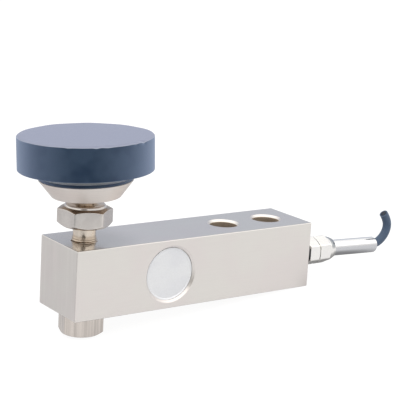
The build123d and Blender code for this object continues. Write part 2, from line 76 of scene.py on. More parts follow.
soft_light("top_soft_box", (-0.10, -0.20, 0.95), (-0.03, 0.0, 0.03), 0.7, 2.5, (1.0, 0.99, 0.97))
soft_light("front_soft_box", (-0.15, -1.00, 0.55), (-0.03, 0.0, 0.03), 0.8, 4.0, (1.0, 0.985, 0.96))
soft_light("side_soft_box", (-1.00, -0.35, 0.45), (-0.05, 0.0, 0.03), 0.6, 2.5, (0.95, 0.97, 1.0))


def add_node(tree, kind, inputs=(), **settings):
    """Add one shader node: settings are its own options, and each input is given as a constant or as the
    output of another node to join to it."""
    node = tree.nodes.new("ShaderNode" + kind)
    for name, setting in settings.items():
        setattr(node, name, setting)
    for socket, given in dict(inputs).items():
        if isinstance(given, bpy.types.NodeSocket):
            tree.links.new(given, node.inputs[socket])
        else:
            node.inputs[socket].default_value = given
    return node


def part_of(tree, vector, letter):
    """Take the X, Y or Z part of a vector."""
    return add_node(tree, "SeparateXYZ", {0: vector}).outputs[letter]


def measure(tree, operation, *vectors):
    """Work one number out of vectors, such as their dot product or their distance."""
    return add_node(tree, "VectorMath", dict(enumerate(vectors)), operation=operation).outputs["Value"]


def calculate(tree, operation, *terms):
    """Work one number out of others."""
    return add_node(tree, "Math", dict(enumerate(terms)), operation=operation).outputs[0]


def ramp(tree, value, start, end, low=0.0, high=1.0, soft=False):
    """Carry a value that runs from start to end over to one from low to high, its ends eased if soft."""
    span = {"Value": value, "From Min": start, "From Max": end, "To Min": low, "To Max": high}
    curve = "SMOOTHSTEP" if soft else "LINEAR"
    return add_node(tree, "MapRange", span, interpolation_type=curve).outputs[0]


def blend(tree, share, first, second):
    """Mix two colours: a share of 0 gives the first and a share of 1 the second."""
    colour_a, colour_b, colour_result = 6, 7, 2
    mix = add_node(tree, "Mix", {0: share, colour_a: first, colour_b: second}, data_type="RGBA")
    return mix.outputs[colour_result]


# Each part of the tent begins and ends at a height of the direction, or at a share of it towards the back.
tent = bpy.data.worlds.new("light_tent")
tent.use_nodes = True
tree = tent.node_tree
direction = add_node(tree, "TexCoord").outputs["Generated"]
height = part_of(tree, direction, "Z")
rearward = measure(tree, "DOT_PRODUCT", direction, (0.59, 0.81, 0.0))
back_wall = ramp(tree, rearward, 0.45, 0.88, soft=True)
under_roof = ramp(tree, height, 0.78, 0.32, soft=True)
grey_wall = calculate(tree, "MULTIPLY", back_wall, under_roof)
roof = ramp(tree, height, 0.28, 0.44, soft=True)
roof_behind = ramp(tree, rearward, 0.22, 0.50, soft=True)
roof_colour = blend(tree, roof_behind, (1.50, 1.48, 1.44, 1.0), (1.06, 1.05, 1.03, 1.0))
walls_and_roof = blend(tree, roof, (1.02, 1.00, 0.97, 1.0), roof_colour)
tent_colour = blend(tree, grey_wall, walls_and_roof, (0.54, 0.57, 0.64, 1.0))
towards_lens = measure(tree, "DOT_PRODUCT", direction, camera_back)
opening = ramp(tree, towards_lens, 0.92, 0.97, soft=True)
tent_and_opening = blend(tree, opening, tent_colour, (0.10, 0.085, 0.07, 1.0))
tree.links.new(tent_and_opening, tree.nodes["Background"].inputs["Color"])
scene.world = tent

# The table stays as far below the cell as the lock nut's rim and the beam's end edge need, so it is tilted.
# Seen directly it glows plain white; in reflections it glows the light grey that such paper is away from the
# key, with painted shade behind the cell and a painted shadow under the gland, and it ends a hand's breadth
# towards the camera, where the dark room begins.
table_tilt = np.radians(5.57)
table_reach = 3.0
table_across = np.array([np.cos(table_tilt), 0.0, np.sin(table_tilt)]) * table_reach
table_along = np.array([0.0, table_reach, 0.0])
table_middle = np.array([0.0281, 0.0, -0.0001])
table_corners = [tuple(table_middle + across * table_across + along * table_along)
                 for across, along in ((-1, -1), (1, -1), (1, 1), (-1, 1))]
table_mesh = bpy.data.meshes.new("table")
table_mesh.from_pydata(table_corners, [], [(0, 1, 2, 3)])
table = bpy.data.objects.new("table", table_mesh)
scene.collection.objects.link(table)


def scaled(tree, vector, factor):
    """Multiply a vector or a colour by a number."""
    return add_node(tree, "VectorMath", {"Vector": vector, "Scale": factor}, operation="SCALE").outputs[0]


paper = bpy.data.materials.new("white_paper")
paper.use_nodes = True
tree = paper.node_tree
tree.nodes.clear()
seen_directly = add_node(tree, "LightPath").outputs["Is Camera Ray"]
spot = add_node(tree, "TexCoord").outputs["Object"]
# Painted shade: in reflections the paper turns a darker grey behind the cell.
behind = ramp(tree, part_of(tree, spot, "Y"), -0.03, 0.05, soft=True)
lit_paper = blend(tree, behind, (0.74, 0.735, 0.73, 1.0), (0.55, 0.545, 0.555, 1.0))
# Painted shadow under the gland, seen only in reflections of the paper.
under_gland = (0.055, 0.004, 0.0)
own_shade = ramp(tree, measure(tree, "DISTANCE", spot, under_gland), 0.018, 0.042, 0.25, 1.0, soft=True)
white = (1.0, 1.0, 1.0, 1.0)
paper_glow = blend(tree, seen_directly, scaled(tree, lit_paper, own_shade), white)
towards_room = measure(tree, "DOT_PRODUCT", spot, (-0.591, -0.807, 0.0))
past_edge = ramp(tree, towards_room, 0.27, 0.36, soft=True)
in_mirrors = calculate(tree, "SUBTRACT", 1.0, seen_directly)
dark_share = calculate(tree, "MULTIPLY", past_edge, in_mirrors)
paper_and_room = blend(tree, dark_share, paper_glow, (0.09, 0.10, 0.12, 1.0))
glow = add_node(tree, "Emission", {"Color": paper_and_room, "Strength": 1.05}).outputs[0]
matte = add_node(tree, "BsdfDiffuse", {"Color": (0.9, 0.9, 0.9, 1.0)}).outputs[0]
matte_share = 0.14
paper_mix = add_node(tree, "MixShader", {0: matte_share, 1: glow, 2: matte}).outputs[0]
add_node(tree, "OutputMaterial", {"Surface": paper_mix})
table_mesh.materials.append(paper)


# Cable: round PVC-jacketed signal cable, slate blue, cut short a little way outside its sleeve.
# It runs straight through the gland and the sleeve, then its own set turns it up and back to the cut end.
def new_group(name, inputs, outputs):
    """Start a node group with the named sockets and return its tree, what it is given and what it gives."""
    tree = bpy.data.node_groups.new(name, "ShaderNodeTree")
    kinds = {float: "NodeSocketFloat", tuple: "NodeSocketVector", list: "NodeSocketColor"}
    for socket, value in inputs.items():
        made = tree.interface.new_socket(socket, in_out="INPUT", socket_type=kinds[type(value)])
        made.default_value = value
    for socket, kind in outputs.items():
        tree.interface.new_socket(socket, in_out="OUTPUT", socket_type=kinds[kind])
    return tree, tree.nodes.new("NodeGroupInput").outputs, tree.nodes.new("NodeGroupOutput").inputs


def grain_group():
    """Large soft patches shift a base colour to a second one, fine stretched grain lightens and darkens it,
    and the same grain gives the roughness and the height."""
    tree, given, result = new_group(
        "grain_and_patches",
        {"Vector": (0.0, 0.0, 0.0), "Base": [0.5, 0.5, 0.5, 1.0], "Patch": [0.5, 0.5, 0.5, 1.0],
         "Patch Scale": 40.0, "Stretch": (1.0, 1.0, 1.0), "Grain Scale": 1500.0, "Grain Amount": 0.1,
         "Roughness": 0.4, "Roughness Spread": 0.1},
        {"Color": list, "Roughness": float, "Height": float},
    )
    patches = add_node(tree, "TexNoise", {
        "Vector": given["Vector"], "Scale": given["Patch Scale"], "Detail": 2.0, "Roughness": 0.5,
    }).outputs[0]
    patch_share = ramp(tree, patches, 0.35, 0.65, soft=True)
    mottled = blend(tree, patch_share, given["Base"], given["Patch"])
    stretched = add_node(tree, "VectorMath", {0: given["Vector"], 1: given["Stretch"]}, operation="MULTIPLY")
    grain = add_node(tree, "TexNoise", {
        "Vector": stretched.outputs[0], "Scale": given["Grain Scale"], "Detail": 3.0, "Roughness": 0.6,
    }).outputs[0]
    swing = calculate(tree, "SUBTRACT", grain, 0.5)
    shade = calculate(tree, "MULTIPLY_ADD", swing, given["Grain Amount"], 1.0)
    roughness = calculate(tree, "MULTIPLY_ADD", swing, given["Roughness Spread"], given["Roughness"])
    tree.links.new(scaled(tree, mottled, shade), result["Color"])
    tree.links.new(roughness, result["Roughness"])
    tree.links.new(grain, result["Height"])
    return tree


grain_and_patches = grain_group()


def start_material(name, **constants):
    """Make a node material, set constants on its shader's own sockets, and return it with tree and shader."""
    material = bpy.data.materials.new(name)
    material.use_nodes = True
    shader = material.node_tree.nodes["Principled BSDF"]
    for socket, value in constants.items():
        shader.inputs[socket.replace("_", " ")].default_value = value
    return material, material.node_tree, shader


def grained_surface(tree, shader, bump, values):
    """Place the grain group on a shader, read in object coordinates, and return what the group gives."""
    spot = add_node(tree, "TexCoord").outputs["Object"]
    grain = add_node(tree, "Group", {"Vector": spot, **values}, node_tree=grain_and_patches).outputs
    relief = add_node(tree, "Bump", {"Strength": 1.0, "Distance": bump, "Height": grain["Height"]})
    tree.links.new(grain["Color"], shader.inputs["Base Color"])
    tree.links.new(grain["Roughness"], shader.inputs["Roughness"])
    tree.links.new(relief.outputs[0], shader.inputs["Normal"])
    return grain


jacket, tree, shader = start_material("cable_jacket", Metallic=0.0, IOR=1.42, Sheen_Weight=0.35,
                                      Sheen_Roughness=0.45, Sheen_Tint=(0.72, 0.82, 1.0, 1.0))
grained_surface(tree, shader, 0.00003, {
    "Base": (0.034, 0.058, 0.100, 1.0), "Patch": (0.042, 0.068, 0.115, 1.0), "Patch Scale": 180.0,
    "Grain Scale": 2600.0, "Grain Amount": 0.25, "Roughness": 0.46, "Roughness Spread": 0.2,
})
cable_points = np.array([
    (33.2, -8.6, 15.3), (44.7, -8.6, 15.3), (58.3, -8.6, 14.7), (69.5, -8.6, 14.2), (78.3, -8.6, 13.8),
    (83.4, -8.6, 16.6), (86.2, -8.6, 21.2), (85.7, -8.6, 26.1), (82.9, -8.6, 29.5),
]) * 0.001
cable_radius = 0.0022
cable_line = bpy.data.curves.new("cable_jacket", "CURVE")
cable_line.dimensions = "3D"
cable_line.bevel_depth = cable_radius
cable_line.bevel_resolution = 8
cable_line.resolution_u = 16
cable_line.use_fill_caps = True
cable_run = cable_line.splines.new("NURBS")
cable_run.points.add(len(cable_points) - 1)
cable_run.points.foreach_set("co", np.c_[cable_points, np.ones(len(cable_points))].ravel())
cable_run.order_u = 3
cable_run.use_endpoint_u = True
cable_line.materials.append(jacket)
cable = bpy.data.objects.new("cable_jacket", cable_line)
scene.collection.objects.link(cable)
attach(cable, "cell")
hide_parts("cable")


# Cut end of the cable: the cutters leave a dark filler with a foil wrap and four small conductors.
# The filler stands a hair proud of the jacket's cut, the conductors' insulation a little more.
def skin(name, points, material, body, replaced=(), ring=False):
    """Close a grid of points into one skin: columns wrap round, rows wrap too on a ring, and a row of equal
    points merges into a pole."""
    rows, columns = points.shape[:2]
    index = np.arange(rows * columns).reshape(rows, columns)
    low = index if ring else index[:-1]
    high = np.roll(index, -1, 0) if ring else index[1:]
    quads = np.stack([low, np.roll(low, -1, 1), np.roll(high, -1, 1), high], -1).reshape(-1, 4)
    mesh = bpy.data.meshes.new(name)
    mesh.from_pydata(points.reshape(-1, 3).tolist(), [], quads.tolist())
    closed = bmesh.new()
    closed.from_mesh(mesh)
    touching = 2e-7
    bmesh.ops.remove_doubles(closed, verts=closed.verts, dist=touching)
    bmesh.ops.recalc_face_normals(closed, faces=closed.faces)
    closed.to_mesh(mesh)
    closed.free()
    mesh.shade_smooth()
    mesh.materials.append(material)
    piece = bpy.data.objects.new(name, mesh)
    scene.collection.objects.link(piece)
    piece.modifiers.new("even_normals", "WEIGHTED_NORMAL")
    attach(piece, body)
    if replaced:
        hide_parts(*replaced)
    return piece


def rounded(corners, steps=5):
    """Round an outline given as (radius, height, rounding) corners: each corner gives way to the arc that
    touches both its sides, at rounding / tan(half the inner angle) from it."""
    table = np.array(corners, float)
    point, rounding = table[:, :2], table[:, 2:]
    back = np.roll(point, 1, 0) - point
    ahead = np.roll(point, -1, 0) - point
    back /= np.linalg.norm(back, axis=1, keepdims=True)
    ahead /= np.linalg.norm(ahead, axis=1, keepdims=True)
    half = np.arccos(np.clip((back * ahead).sum(1), -1, 1))[:, None] / 2
    middle = back + ahead
    middle /= np.maximum(np.linalg.norm(middle, axis=1, keepdims=True), 1e-9)
    centre = point + middle * rounding / np.sin(half)
    first = point + back * rounding / np.tan(half) - centre
    last = point + ahead * rounding / np.tan(half) - centre
    turn = np.maximum(np.pi - 2 * half, 1e-6)[:, None]
    share = np.linspace(0, 1, steps)[None, :, None]
    arc = (np.sin((1 - share) * turn) * first[:, None] + np.sin(share * turn) * last[:, None]) / np.sin(turn)
    return (centre[:, None] + arc).reshape(-1, 2)


def turned(profile, origin, axis, across, angles):
    """Carry an outline of (radius, height) rows, in millimetres, round an axis: origin + height along the
    axis + radius times (cosine of the angle across it + sine of the angle square to both). Radii may differ
    by angle."""
    axis = np.array(Vector(axis).normalized())
    across = np.array(across, float)
    across -= axis * (across @ axis)
    across /= np.linalg.norm(across)
    square = np.cross(axis, across)
    radius = profile[..., 0] if profile.ndim == 3 else profile[:, :1] * np.ones(len(angles))
    height = profile[..., 1] if profile.ndim == 3 else profile[:, 1:] * np.ones(len(angles))
    spoke = np.cos(angles)[:, None] * across + np.sin(angles)[:, None] * square
    millimetres = radius[..., None] * spoke + height[..., None] * axis
    return millimetres * 0.001 + np.array(origin, float)


filler_black, tree, shader = start_material("cable_filler", Metallic=0.0, IOR=1.4)
grained_surface(tree, shader, 0.00005, {
    "Base": (0.008, 0.016, 0.032, 1.0), "Patch": (0.016, 0.026, 0.046, 1.0), "Patch Scale": 900.0,
    "Grain Scale": 3000.0, "Grain Amount": 0.5, "Roughness": 0.7, "Roughness Spread": 0.2,
})
full_turn = np.linspace(0, 2 * np.pi, 96, endpoint=False)
cut_place = cable_points[-1]
cut_axis = cut_place - cable_points[-2]
cut_axis = cut_axis / np.linalg.norm(cut_axis)
cut_side = (0, 1, 0)
cut_slope = np.cross(cut_side, cut_axis)
filler_outline = rounded([(0, -0.3, 0), (1.65, -0.3, 0), (1.65, 0.06, 0.04), (0, 0.06, 0)])
cut_ends = [skin("cable_cut_filler", turned(filler_outline, cut_place, cut_axis, cut_side, full_turn),
                 filler_black, "cell")]
core_tints = ((0.026, 0.012, 0.018), (0.010, 0.020, 0.020), (0.022, 0.026, 0.036), (0.010, 0.012, 0.020))
core_outline = rounded([(0, -0.2, 0), (0.45, -0.2, 0), (0.45, 0.16, 0.05), (0, 0.16, 0)])
core_offset = 0.00072
few_angles = full_turn[::4]
for number, tint in enumerate(core_tints):
    core_skin, tree, shader = start_material(f"cut_core_{number + 1}", Metallic=0.0, IOR=1.45)
    grained_surface(tree, shader, 0.00002, {
        "Base": (*tint, 1.0), "Patch": (*tint, 1.0), "Grain Scale": 4000.0, "Grain Amount": 0.3,
        "Roughness": 0.5, "Roughness Spread": 0.1,
    })
    around = np.pi / 4 + number * np.pi / 2
    core_place = cut_place + core_offset * (np.cos(around) * np.array(cut_side) + np.sin(around) * cut_slope)
    cut_ends.append(skin(
        f"cable_cut_core_{number + 1}", turned(core_outline, core_place, cut_axis, cut_side, few_angles),
        core_skin, "cell",
    ))


# Beam: one square bar of alloy steel, milled, ground on its long faces and nickel plated.
# The faces keep a faint mottling from the plating, the free end its upright milling marks, and the walls of
# the bolt holes stay brown and dull. Every outer edge is lightly broken.
def tone(tree, shader, share, colour):
    """Cover a shader's colour with another one by a share."""
    under = shader.inputs["Base Color"].links[0].from_socket
    tree.links.new(blend(tree, share, under, colour), shader.inputs["Base Color"])


plating, tree, shader = start_material("plated_beam", Metallic=1.0)
along_bar = grained_surface(tree, shader, 0.0000016, {
    "Base": (0.800, 0.775, 0.745, 1.0), "Patch": (0.797, 0.752, 0.735, 1.0), "Patch Scale": 42.0,
    "Stretch": (0.03, 1.0, 1.0), "Grain Scale": 2400.0, "Grain Amount": 0.05,
    "Roughness": 0.33, "Roughness Spread": 0.10,
})
coordinates = add_node(tree, "TexCoord").outputs
spot, facing = coordinates["Object"], coordinates["Normal"]
tilted, square_on = 0.75, 0.95
on_end = ramp(tree, calculate(tree, "ABSOLUTE", part_of(tree, facing, "X")), tilted, square_on)
milling_marks = (1.0, 420.0, 26.0)
up_end = add_node(tree, "Mapping", {"Vector": spot, "Scale": milling_marks}).outputs[0]
milling = add_node(tree, "TexNoise", {"Vector": up_end, "Scale": 1.0, "Detail": 3.0, "Roughness": 0.65})
milling_shade = ramp(tree, milling.outputs[0], 0.3, 0.7, 0.92, 0.975)
tone(tree, shader, on_end, scaled(tree, along_bar["Color"], milling_shade))
height = part_of(tree, spot, "Z")
hole_x, stud_x = 0.0127, -0.0889
past_wall, at_wall = 0.00675, 0.00662
in_hole = 0.0
for centre_x in (-hole_x, hole_x):
    hole_axis = add_node(tree, "CombineXYZ", {"X": centre_x, "Z": height}).outputs[0]
    hole_share = ramp(tree, measure(tree, "DISTANCE", spot, hole_axis), past_wall, at_wall)
    in_hole = calculate(tree, "MAXIMUM", in_hole, hole_share)
tone(tree, shader, in_hole, (0.50, 0.425, 0.35, 1.0))
stud_axis = add_node(tree, "CombineXYZ", {"X": stud_x, "Z": height}).outputs[0]
from_stud = measure(tree, "DISTANCE", spot, stud_axis)
# Painted shade under the foot: the beam's top face darkens round the stud.
foot_shade_start, foot_shade_end, foot_shade_strength = 0.008, 0.030, 0.22
foot_shade = ramp(tree, from_stud, foot_shade_start, foot_shade_end, foot_shade_strength, 0.0, soft=True)
upward = part_of(tree, facing, "Z")
foot_shade_share = calculate(tree, "MULTIPLY", foot_shade, ramp(tree, upward, tilted, square_on))
tone(tree, shader, foot_shade_share, (0.10, 0.09, 0.08, 1.0))
ground_roughness, wall_roughness = -0.10, 0.25
on_ground_face = ramp(tree, calculate(tree, "ABSOLUTE", upward), tilted, square_on, 0.0, ground_roughness)
ground = calculate(tree, "ADD", along_bar["Roughness"], on_ground_face)
dull_walls = calculate(tree, "MULTIPLY_ADD", in_hole, wall_roughness, ground)
tree.links.new(dull_walls, shader.inputs["Roughness"])
beam_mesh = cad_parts["beam_body"].data.copy()
beam_mesh.name = "beam"
merged = bmesh.new()
merged.from_mesh(beam_mesh)
bmesh.ops.remove_doubles(merged, verts=merged.verts, dist=1e-6)
merged.to_mesh(beam_mesh)
merged.free()
beam_mesh.shade_smooth()
beam_mesh.set_sharp_from_angle(angle=np.radians(50))
corners = np.empty(len(beam_mesh.vertices) * 3)
beam_mesh.vertices.foreach_get("co", corners)
ends = np.empty(len(beam_mesh.edges) * 2, int)
beam_mesh.edges.foreach_get("vertices", ends)
sharp = np.empty(len(beam_mesh.edges), bool)
beam_mesh.edges.foreach_get("use_edge_sharp", sharp)
first_end, last_end = corners.reshape(-1, 3)[ends.reshape(-1, 2).T]
level = 1e-6
near_hole = np.hypot(np.abs(first_end[:, 0]) - hole_x, first_end[:, 1]) < 0.008
sharp |= near_hole & (np.abs(first_end[:, 2] - last_end[:, 2]) < level)
pocket_x, pocket_z = -0.0525, 0.0159
near_pocket = np.hypot(first_end[:, 0] - pocket_x, first_end[:, 2] - pocket_z) < 0.014
sharp |= near_pocket & (np.abs(first_end[:, 1] - last_end[:, 1]) < level)
beam_mesh.edges.foreach_set("use_edge_sharp", sharp)
beam_mesh.materials.clear()
beam_mesh.materials.append(plating)
beam = bpy.data.objects.new("beam", beam_mesh)
scene.collection.objects.link(beam)
beam.modifiers.new("even_normals", "WEIGHTED_NORMAL").keep_sharp = True
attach(beam, "cell")
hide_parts("beam_body")


# Gauges, solder boards and wiring: glued and soldered on both sides of the shear web, out of sight.
# Amber film with bright foil grids, green boards with tinned pads, bare leads, two bridging wires and the
# cable's four cores; a soft sealing plug covers them on each side.
def raised_metal(tree, shader, depth, metal):
    """Turn what stands further from the beam's middle plane than a depth into metal of a colour."""
    sideways = part_of(tree, add_node(tree, "TexCoord").outputs["Object"], "Y")
    raised = calculate(tree, "GREATER_THAN", calculate(tree, "ABSOLUTE", sideways), depth)
    tone(tree, shader, raised, metal)
    tree.links.new(raised, shader.inputs["Metallic"])


# Each finish: base and patch colour, patch scale, grain scale and amount, roughness, bump height, metallic.
inner_finishes = {
    "sealant": ((0.60, 0.60, 0.55), (0.66, 0.65, 0.60), 120.0, 900.0, 0.08, 0.45, 0.00004, 0.0),
    "gauge_film": ((0.58, 0.33, 0.09), (0.66, 0.40, 0.13), 300.0, 2500.0, 0.15, 0.35, 0.00001, 0.0),
    "circuit_board": ((0.10, 0.27, 0.17), (0.13, 0.32, 0.20), 400.0, 3500.0, 0.20, 0.40, 0.00001, 0.0),
    "bare_wire": ((0.78, 0.50, 0.34), (0.70, 0.45, 0.32), 500.0, 4000.0, 0.15, 0.25, 0.00001, 1.0),
    "wire_insulation": ((0.74, 0.74, 0.71), (0.68, 0.68, 0.66), 250.0, 2500.0, 0.10, 0.32, 0.00001, 0.0),
    "core_insulation": ((0.55, 0.08, 0.06), (0.48, 0.06, 0.05), 250.0, 2500.0, 0.10, 0.32, 0.00001, 0.0),
    "acetal": ((0.84, 0.84, 0.80), (0.78, 0.78, 0.74), 120.0, 1500.0, 0.06, 0.38, 0.00001, 0.0),
    "nylon": ((0.76, 0.76, 0.71), (0.70, 0.70, 0.66), 150.0, 1800.0, 0.08, 0.42, 0.00001, 0.0),
    "black_rubber": ((0.024, 0.024, 0.028), (0.040, 0.040, 0.044), 200.0, 2200.0, 0.30, 0.62, 0.00003, 0.0),
}
foil_depth, pad_depth = 0.00263, 0.00353
finishes = {}
for slot, (base, patch, patches, grain, swing, rough, bump, metal) in inner_finishes.items():
    finishes[slot], tree, shader = start_material(slot, Metallic=metal)
    grained_surface(tree, shader, bump, {
        "Base": (*base, 1.0), "Patch": (*patch, 1.0), "Patch Scale": patches, "Grain Scale": grain,
        "Grain Amount": swing, "Roughness": rough, "Roughness Spread": 0.12,
    })
    if slot == "gauge_film":
        raised_metal(tree, shader, foil_depth, (0.80, 0.66, 0.52, 1.0))
    if slot == "circuit_board":
        raised_metal(tree, shader, pad_depth, (0.74, 0.73, 0.70, 1.0))
for node, slot in {
    "front_sealant": "sealant", "rear_sealant": "sealant", "front_shear_gauge": "gauge_film",
    "rear_shear_gauge": "gauge_film", "front_terminal_board": "circuit_board",
    "rear_terminal_board": "circuit_board", "gauge_leads": "bare_wire", "bridge_wires": "wire_insulation",
    "cable_cores": "core_insulation",
}.items():
    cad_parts[node].data.materials[0] = finishes[slot]

# Pocket covers: thin matte discs, blasted and plated, pressed on the ledge of each gauge pocket.
# Each lies one millimetre inside the pocket's countersunk mouth, low in its seat, and is dished a little.
cover_plate, tree, shader = start_material("cover_plate", Metallic=0.85)
grained_surface(tree, shader, 0.000004, {
    "Base": (0.80, 0.81, 0.83, 1.0), "Patch": (0.77, 0.78, 0.81, 1.0), "Patch Scale": 90.0,
    "Grain Scale": 1900.0, "Grain Amount": 0.16, "Roughness": 0.52, "Roughness Spread": 0.12,
})
cover_outline = rounded([(0, 13.7, 0), (12.18, 13.7, 0.15), (12.18, 14.9, 0.1), (11.98, 14.9, 0.08),
                         (11.35, 14.55, 0.3), (0, 14.55, 0)])
cover_place = (-0.05256, 0, 0.01581)
for side, side_name in ((-1, "front"), (1, "rear")):
    skin(f"{side_name}_cover", turned(cover_outline, cover_place, (0, side, 0), (1, 0, 0), full_turn),
         cover_plate, "cell", [f"{side_name}_pocket_cover"])


# Cable gland: bright nickel-plated brass, a hexagon body screwed into the beam on a rubber washer and a domed
# nut on its neck. Inside, the nut presses a clamp ring and a rubber grommet on the cable.
def hexagon_angles(corner, steps):
    """Angles round a hexagon, closer together at its six corners than on its flats."""
    crowding = 1.5
    share = np.linspace(-1, 1, steps, endpoint=False)
    near_corner = np.radians(30) * np.sign(share) * np.abs(share) ** crowding
    return (np.radians(corner + 60 * np.arange(6))[:, None] + near_corner).ravel()


def least(first, second, edge):
    """The smaller of two lengths, blended where they are nearly equal so that the edge between is rounded."""
    share = np.clip(0.5 + 0.5 * (second - first) / edge, 0, 1)
    return second + (first - second) * share - edge * share * (1 - share)


def hexagon_cut(profile, flats, corner, angles):
    """Cut a turned outline by six flats: at each angle the radius is the least of the outline's own and
    half the width over flats divided by the cosine of the angle from the nearest flat's middle."""
    edge = 0.3
    from_corner = (angles - np.radians(corner) + np.pi / 6) % (np.pi / 3) - np.pi / 6
    near = flats / 2 / np.cos(np.pi / 6 - np.abs(from_corner))
    far = flats / 2 / np.cos(np.pi / 6 + np.abs(from_corner))
    radius = least(profile[:, :1], least(near, far, edge)[None], edge)
    return np.stack([radius, profile[:, 1:] + 0 * radius], -1)


def closer_rows(outline, step, ring=True):
    """Add rows to an outline, evenly along its length, so that no two are further apart than a step."""
    path = np.vstack([outline, outline[:1]]) if ring else outline
    length = np.r_[0, np.cumsum(np.linalg.norm(np.diff(path, axis=0), axis=1))]
    keep = np.r_[True, np.diff(length) > 1e-6]
    stations = np.union1d(length[keep], np.arange(0, length[-1], step))
    stations = stations[:-1] if ring else stations
    return np.stack([np.interp(stations, length[keep], path[keep][:, side]) for side in (0, 1)], -1)


bright_nickel, tree, shader = start_material("gland_plating", Metallic=1.0)
grained_surface(tree, shader, 0.0000015, {
    "Base": (0.96, 0.95, 0.93, 1.0), "Patch": (0.93, 0.92, 0.91, 1.0), "Patch Scale": 160.0,
    "Grain Scale": 2200.0, "Grain Amount": 0.08, "Roughness": 0.18, "Roughness Spread": 0.12,
})
coordinates = add_node(tree, "TexCoord").outputs
along_gland = part_of(tree, coordinates["Object"], "X")
# Painted reflection: a grey band on the upper side of the nut's dome, between its flats and its tip.
past_flats = ramp(tree, along_gland, 0.0443, 0.0448)
before_tip = ramp(tree, along_gland, 0.0478, 0.0472)
on_dome = calculate(tree, "MULTIPLY", past_flats, before_tip)
on_upper_side = ramp(tree, part_of(tree, coordinates["Normal"], "Z"), 0.15, 0.35)
tone(tree, shader, calculate(tree, "MULTIPLY", on_dome, on_upper_side), (0.42, 0.44, 0.46, 1.0))
gland_origin, gland_axis, gland_across = (0.0287, -0.0086, 0.0153), (1, 0, 0), (0, 1, 0)
gland_flats, gland_turn = 12.3, 88.0
gland_angles = hexagon_angles(gland_turn, 18)
gland_corner, gland_face = gland_flats / np.sqrt(3), 6.3
face_drop = (gland_corner - gland_face) * np.tan(np.radians(30))
body_outline = rounded([
    (3.2, -5.0, 0.1), (4.675, -5.0, 0.2), (4.675, 2.0, 0.02), (gland_face, 2.0, 0.1),
    (gland_corner, 2.0 + face_drop, 0.1), (gland_corner, 8.0 - face_drop, 0.1), (gland_face, 8.0, 0.1),
    (5.2, 8.0, 0.02), (5.2, 13.2, 0.2), (4.2, 13.2, 0.1), (4.2, 5.0, 0.02), (3.2, 5.0, 0.1),
])
nut_outline = rounded([
    (5.3, 8.4, 0.1), (gland_face, 8.4, 0.1), (gland_corner, 8.4 + face_drop, 0.1), (gland_corner, 14.4, 0.3),
    (6.2, 15.1, 0.6), (5.85, 17.1, 1.6), (4.95, 19.35, 0.35), (4.3, 19.4, 0.12), (4.3, 13.6, 0.05),
    (5.3, 13.55, 0.05),
])
for node, outline in (("gland_body", body_outline), ("gland_nut", nut_outline)):
    cut_outline = hexagon_cut(closer_rows(outline, 0.2), gland_flats, gland_turn, gland_angles)
    skin(f"{node}_shell", turned(cut_outline, gland_origin, gland_axis, gland_across, gland_angles),
         bright_nickel, "cell", [node], ring=True)
washer_outline = rounded([(4.8, 0.0, 0.2), (5.7, 0.0, 0.3), (5.7, 2.0, 0.3), (4.8, 2.0, 0.2)])
skin("gland_seal", turned(washer_outline, gland_origin, gland_axis, gland_across, full_turn),
     finishes["black_rubber"], "cell", ["gland_washer"], ring=True)
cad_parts["gland_grommet"].data.materials[0] = finishes["black_rubber"]
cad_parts["gland_clamp_ring"].data.materials[0] = finishes["nylon"]

# Strain-relief sleeve: a bright drawn tube slipped over the cable and held in the nut's mouth.
# It droops a little, its underside is darkened by painted shade and its outer rim broken.
tube_plating, tree, shader = start_material("sleeve_plating", Metallic=1.0)
grained_surface(tree, shader, 0.000001, {
    "Base": (0.95, 0.95, 0.95, 1.0), "Patch": (0.93, 0.93, 0.94, 1.0), "Patch Scale": 120.0,
    "Stretch": (0.05, 1.0, 1.0), "Grain Scale": 1800.0, "Grain Amount": 0.06, "Roughness": 0.17,
    "Roughness Spread": 0.08,
})
# Painted shade: the tube darkens towards its underside.
upward = part_of(tree, add_node(tree, "TexCoord").outputs["Normal"], "Z")
tone(tree, shader, ramp(tree, upward, 0.62, 0.22, soft=True), (0.64, 0.65, 0.68, 1.0))
droop = np.radians(2.6)
sleeve_axis = np.array([np.cos(droop), 0, -np.sin(droop)])
nut_mouth = np.array([0.0455, -0.0086, 0.0153])
hidden_length = 0.0026
sleeve_start = nut_mouth - sleeve_axis * hidden_length
sleeve_outline = rounded([(2.45, 0, 0.1), (4.0, 0, 0.3), (4.0, 34.1, 0.65), (2.45, 34.1, 0.2)], steps=7)
sleeve = skin("sleeve_tube", turned(sleeve_outline, sleeve_start, sleeve_axis, (0, 1, 0), full_turn),
              tube_plating, "cell", ["strain_relief_sleeve"], ring=True)


# Foot stud: one bright zinc-plated steel turning with an M12 thread, a waisted shank, a hexagon, a neck and
# the ball that carries the foot. The thread runs out above the beam's face; the lock nut holds it below.
def turned_marks_group():
    """Fine rings round the Z axis of the given coordinates: noise of the distance from the axis and the
    height along it, so that it is the same all the way round."""
    tree, given, result = new_group(
        "turned_marks", {"Vector": (0.0, 0.0, 0.0), "Scale": 3000.0, "Strength": 0.1},
        {"Shade": float, "Height": float},
    )
    parts = add_node(tree, "SeparateXYZ", {0: given["Vector"]}).outputs
    level_part = add_node(tree, "CombineXYZ", {"X": parts["X"], "Y": parts["Y"]}).outputs[0]
    radius = measure(tree, "LENGTH", level_part)
    ring_place = add_node(tree, "CombineXYZ", {"X": radius, "Z": parts["Z"]}).outputs[0]
    rings = add_node(tree, "TexNoise", {
        "Vector": ring_place, "Scale": given["Scale"], "Detail": 2.0, "Roughness": 0.6,
    }).outputs[0]
    swing = calculate(tree, "SUBTRACT", rings, 0.5)
    tree.links.new(calculate(tree, "MULTIPLY_ADD", swing, given["Strength"], 1.0), result["Shade"])
    tree.links.new(rings, result["Height"])
    return tree


turned_marks = turned_marks_group()


